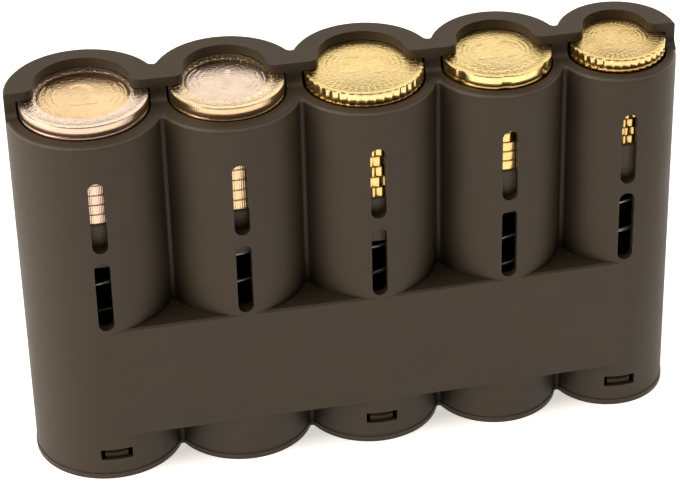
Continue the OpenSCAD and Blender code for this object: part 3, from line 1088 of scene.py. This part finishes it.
class HOLDER_OT_set_stage(bpy.types.Operator):
    """Sets the pale floor, the soft studio lights and the camera at the photograph's angle"""
    bl_idname = "holder.set_stage"
    bl_label = "Set the stage"

    # Middle of the view: a point in the holder, in millimetres
    target = (-1.913, 0.0, 41.558)

    def execute(self, context):
        stage = context.scene.holder_stage
        self.lay_floor()
        self.hang_lights(stage.light)
        self.place_camera(context.scene, stage)
        return {"FINISHED"}

    def lay_floor(self):
        start_clean()
        bpy.ops.mesh.primitive_plane_add(size=FLOOR_SIZE, location=(0, 0, 0))
        floor = bpy.context.object
        floor.name = "floor"
        material, net, shader, place = new_material("Pale floor")
        net.feed(shader.inputs["Base Color"], net.mix_colour(
            net.noise(place, 3.0, detail=2.0), *FLOOR_TONES))
        shader.inputs["Roughness"].default_value = FLOOR_ROUGH
        shader.inputs["Emission Color"].default_value = FLOOR_LIGHT
        shader.inputs["Emission Strength"].default_value = FLOOR_GLOW
        floor.data.materials.append(material)

    def hang_lights(self, strength):
        for name, azimuth, elevation, size, power in LAMPS:
            softbox(name, azimuth, elevation, size, power * strength)
        world = bpy.data.worlds.new("Studio")
        bpy.context.scene.world = world
        world.use_nodes = True
        shade = world.node_tree.nodes["Background"]
        shade.inputs["Color"].default_value = (1.0, 1.0, 1.0, 1.0)
        shade.inputs["Strength"].default_value = WORLD_STRENGTH * strength

    def place_camera(self, scene, stage):
        turn, rise, roll = (math.radians(v) for v in (stage.azimuth, stage.elevation, stage.roll))
        back = facing(turn, rise)
        right = Vector((math.cos(turn), math.sin(turn), 0.0))
        up = back.cross(right)
        side = right * math.cos(roll) + up * math.sin(roll)
        top = up * math.cos(roll) - right * math.sin(roll)
        start_clean()
        bpy.ops.object.camera_add()
        camera = bpy.context.object
        camera.data.sensor_fit = "HORIZONTAL"
        camera.data.sensor_width = SENSOR_WIDTH
        camera.data.lens = stage.lens
        camera.data.clip_start = 0.01
        axes = Matrix((side, top, back)).transposed().to_4x4()
        camera.matrix_world = Matrix.Translation(
            Vector(self.target) * MM + back * stage.distance) @ axes
        scene.camera = camera
        scene.view_settings.view_transform = "Standard"


class HOLDER_PT_pieces(bpy.types.Panel):
    """Lists the sizes, the colours and the operators"""
    bl_label = "Coin holder"
    bl_idname = "HOLDER_PT_pieces"
    bl_space_type = "VIEW_3D"
    bl_region_type = "UI"
    bl_category = "Coin holder"

    def draw(self, context):
        scene = context.scene
        for title, settings, operator in (
                ("Mouldings", scene.holder_plastic, HOLDER_OT_mould),
                ("Springs", scene.holder_spring, HOLDER_OT_wind_springs),
                ("Coins", scene.holder_coin, HOLDER_OT_strike_coins),
                ("Stage", scene.holder_stage, HOLDER_OT_set_stage)):
            box = self.layout.box()
            box.label(text=title)
            for name in settings.__annotations__:
                box.prop(settings, name)
            box.operator(operator.bl_idname)


SETTINGS = (
    ("holder_plastic", PlasticSettings),
    ("holder_spring", SpringSettings),
    ("holder_coin", CoinSettings),
    ("holder_stage", StageSettings),
)
CLASSES = (HOLDER_OT_mould, HOLDER_OT_wind_springs, HOLDER_OT_strike_coins,
           HOLDER_OT_set_stage, HOLDER_PT_pieces)


def register():
    for name, settings in SETTINGS:
        bpy.utils.register_class(settings)
        setattr(bpy.types.Scene, name, bpy.props.PointerProperty(type=settings))
    for cls in CLASSES:
        bpy.utils.register_class(cls)


def unregister():
    for cls in reversed(CLASSES):
        bpy.utils.unregister_class(cls)
    for name, settings in reversed(SETTINGS):
        delattr(bpy.types.Scene, name)
        bpy.utils.unregister_class(settings)


def main():
    register()
    bpy.ops.holder.set_stage()
    bpy.ops.holder.mould()
    bpy.ops.holder.wind_springs()
    bpy.ops.holder.strike_coins()


if __name__ == "__main__":
    main()
